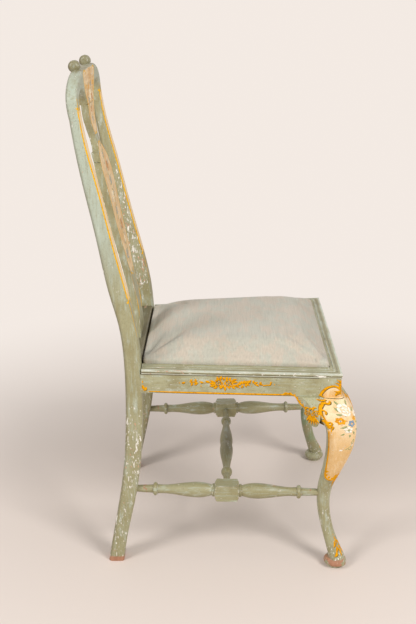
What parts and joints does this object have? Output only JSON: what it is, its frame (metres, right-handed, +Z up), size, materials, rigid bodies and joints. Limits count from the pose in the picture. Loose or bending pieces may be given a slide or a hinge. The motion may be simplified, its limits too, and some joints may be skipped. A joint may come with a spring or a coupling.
{
  "type": "painted side chair",
  "caption": "Painted side chair with cabriole front legs, a vase splat, a rounded crest rail, turned stretchers and a drop-in upholstered seat.",
  "frame": {"origin": "on the floor, under the middle of the chair", "axes": "+Z up; the sitter faces -Y, so +X is on the sitter's left and +Y is behind the chair"},
  "size_m": [0.5662, 0.5735, 1.06],
  "materials": {
    "green_paint": "old sage green paint with cream panels and gilding, worn at the edges",
    "cream_paint": "old cream paint, crackled",
    "gilding": "gold paint, worn",
    "bare_wood": "bare, sawn",
    "steel": "dull",
    "linen": "plain woven linen, grey-beige",
    "webbing": "jute webbing",
    "burlap": "coarse burlap",
    "stuffing": "matted hair and cotton",
    "dust_cloth": "thin black cloth"
  },
  "bodies": {
    "frame": {"front_leg_left": "green_paint", "front_leg_right": "green_paint", "rear_post_left": "green_paint", "rear_post_right": "green_paint", "front_seat_rail": "green_paint", "side_seat_rail_left": "green_paint", "side_seat_rail_right": "green_paint", "rear_seat_rail": "green_paint", "seat_moulding_front": "green_paint", "seat_moulding_left": "green_paint", "seat_moulding_right": "green_paint", "knee_bracket_front_left": "green_paint", "knee_bracket_front_right": "green_paint", "knee_bracket_side_left": "green_paint", "knee_bracket_side_right": "green_paint", "side_stretcher_left": "green_paint", "side_stretcher_right": "green_paint", "cross_stretcher": "green_paint", "crest_rail": "green_paint", "splat": "green_paint", "splat_shoe": "green_paint", "corner_block_front_left": "bare_wood", "corner_block_front_right": "bare_wood", "corner_block_rear_left": "bare_wood", "corner_block_rear_right": "bare_wood", "corner_block_screws": "steel"},
    "slip_seat": {"slip_frame_front": "bare_wood", "slip_frame_rear": "bare_wood", "slip_frame_side_left": "bare_wood", "slip_frame_side_right": "bare_wood", "seat_webbing_long": "webbing", "seat_webbing_cross": "webbing", "seat_burlap": "burlap", "seat_stuffing": "stuffing", "seat_cover": "linen", "dust_cover": "dust_cloth", "seat_tacks": "steel"}
  },
  "joints": [
    {"name": "seat_lift", "type": "slide", "parent": "frame", "child": "slip_seat", "axis": [0, 0, 1], "range_m": [0, 0.12]}
  ]
}
